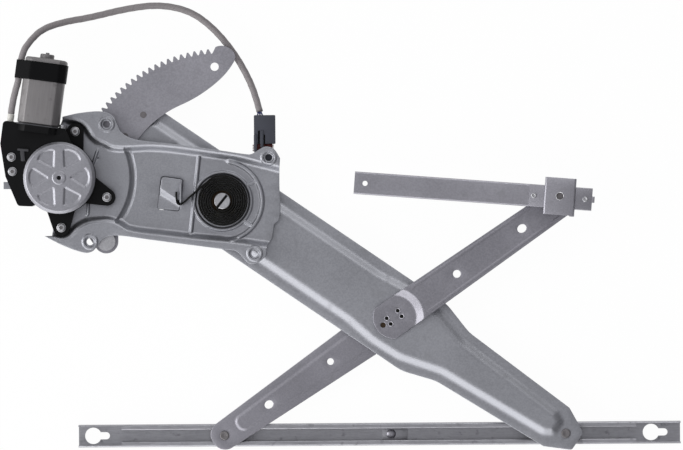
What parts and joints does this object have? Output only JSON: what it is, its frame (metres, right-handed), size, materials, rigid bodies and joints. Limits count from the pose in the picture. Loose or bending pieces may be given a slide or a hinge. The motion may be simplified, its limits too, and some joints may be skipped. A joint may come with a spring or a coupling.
{
  "type": "window regulator",
  "caption": "Cross-arm power window regulator for a car door, with its motor, sector gear, spring, glass channel and harness.",
  "frame": {"origin": "centre of the front upper door-bolt hole of the mounting plate, on the back face of its flange", "axes": "+X along the glass channel away from the motor, +Y the way the window goes up, +Z from the linkage towards the motor cover, along the lift pivot"},
  "size_m": [0.7121, 0.474, 0.0634],
  "materials": {
    "galvanised_steel": "matt zinc-plated sheet",
    "bright_steel": "bright zinc",
    "can_steel": "dull drawn steel",
    "black_spring_steel": "black oiled",
    "black_plastic": "moulded",
    "white_plastic": "moulded",
    "grey_plastic": "moulded",
    "red_seal": "moulded",
    "black_rubber": "matt",
    "harness_sleeve": "taped sleeve",
    "wire": "insulated leads",
    "bronze": "sintered",
    "magnet": "ferrite",
    "copper": "enamelled winding"
  },
  "bodies": {
    "plate_and_motor": {"mounting_plate": "galvanised_steel", "pivot_bush": "bronze", "counterbalance_spring": "black_spring_steel", "motor_gear_housing": "black_plastic", "gear_cover": "galvanised_steel", "output_bush": "bronze", "mount_screws": "bright_steel", "housing_screws": "bright_steel", "motor_can": "can_steel", "can_screws": "bright_steel", "can_bearing": "bronze", "motor_magnets": "magnet", "brush_holder": "black_plastic", "worm_bearing": "bronze", "terminal_tab": "galvanised_steel", "rubber_band": "black_rubber", "harness_grommet": "white_plastic", "harness_cord": "harness_sleeve", "wire_leads": "wire", "connector_body": "grey_plastic", "connector_seal": "red_seal"},
    "motor_rotor": {"armature": "copper", "commutator": "copper", "worm": "bright_steel"},
    "output_gear": {"worm_wheel": "white_plastic", "damper_blocks": "black_rubber", "drive_plate": "bright_steel", "output_pinion": "bright_steel"},
    "lift": {"lift_arm": "galvanised_steel", "sector_gear": "galvanised_steel", "sector_rivets": "bright_steel", "guide_button": "bright_steel", "pivot_arbor": "bright_steel", "pivot_washer": "bright_steel", "lift_arm_stud": "bright_steel"},
    "equaliser": {"equaliser_upper_arm": "galvanised_steel", "equaliser_lower_arm": "galvanised_steel", "equaliser_hub": "bright_steel", "lower_arm_stud": "bright_steel", "upper_arm_stud": "bright_steel"},
    "lift_shoe": {"lift_arm_shoe": "white_plastic"},
    "lower_shoe": {"lower_arm_shoe": "white_plastic"},
    "upper_shoe": {"upper_arm_shoe": "white_plastic"},
    "glass_channel": {"glass_channel_left": "galvanised_steel", "glass_channel_right": "galvanised_steel", "channel_rivet": "bright_steel"},
    "fixed_rail": {"fixed_rail": "galvanised_steel", "rail_reinforcement": "galvanised_steel", "rail_bracket": "galvanised_steel", "rail_rivets": "bright_steel"}
  },
  "joints": [
    {"name": "lift", "type": "hinge", "parent": "plate_and_motor", "child": "lift", "pos_m": [0.1207, -0.0812, -0.013], "axis": [0, 0, 1], "range_deg": [-3, 72], "deforming": ["counterbalance_spring"]},
    {"name": "output_gear_turn", "type": "hinge", "parent": "plate_and_motor", "child": "output_gear", "pos_m": [-0.04918, -0.0559, 0.0023], "axis": [0, 0, 1], "range_deg": [-832, 38]},
    {"name": "rotor_turn", "type": "hinge", "parent": "plate_and_motor", "child": "motor_rotor", "pos_m": [-0.07849, -0.05181, 0.0063], "axis": [0.1383, 0.9904, 0], "range_deg": [-2200, 50000]},
    {"name": "equaliser_cross", "type": "hinge", "parent": "lift", "child": "equaliser", "pos_m": [0.30036, -0.20468, -0.013], "axis": [0, 0, 1], "range_deg": [-146, 8]},
    {"name": "lift_shoe_turn", "type": "hinge", "parent": "lift", "child": "lift_shoe", "pos_m": [0.48002, -0.32815, -0.0318], "axis": [0, 0, 1], "range_deg": [-74, 5]},
    {"name": "lower_shoe_turn", "type": "hinge", "parent": "equaliser", "child": "lower_shoe", "pos_m": [0.1207, -0.32815, -0.0318], "axis": [0, 0, 1], "range_deg": [-5, 74]},
    {"name": "upper_shoe_turn", "type": "hinge", "parent": "equaliser", "child": "upper_shoe", "pos_m": [0.48002, -0.0812, 0.0022], "axis": [0, 0, 1], "range_deg": [-5, 74]},
    {"name": "glass_channel_slide", "type": "slide", "parent": "lower_shoe", "child": "glass_channel", "axis": [1, 0, 0], "range_m": [-0.02, 0]},
    {"name": "fixed_rail_slide", "type": "slide", "parent": "upper_shoe", "child": "fixed_rail", "axis": [0.9969, -0.0785, 0], "range_m": [-0.012, 0.19]}
  ],
  "couplings": [
    {"joint": "output_gear_turn", "follows": "lift", "ratio": -11.5},
    {"joint": "rotor_turn", "follows": "lift", "ratio": 690},
    {"joint": "equaliser_cross", "follows": "lift", "ratio": -2},
    {"joint": "lift_shoe_turn", "follows": "lift", "ratio": -1},
    {"joint": "lower_shoe_turn", "follows": "lift", "ratio": 1},
    {"joint": "upper_shoe_turn", "follows": "lift", "ratio": 1}
  ]
}
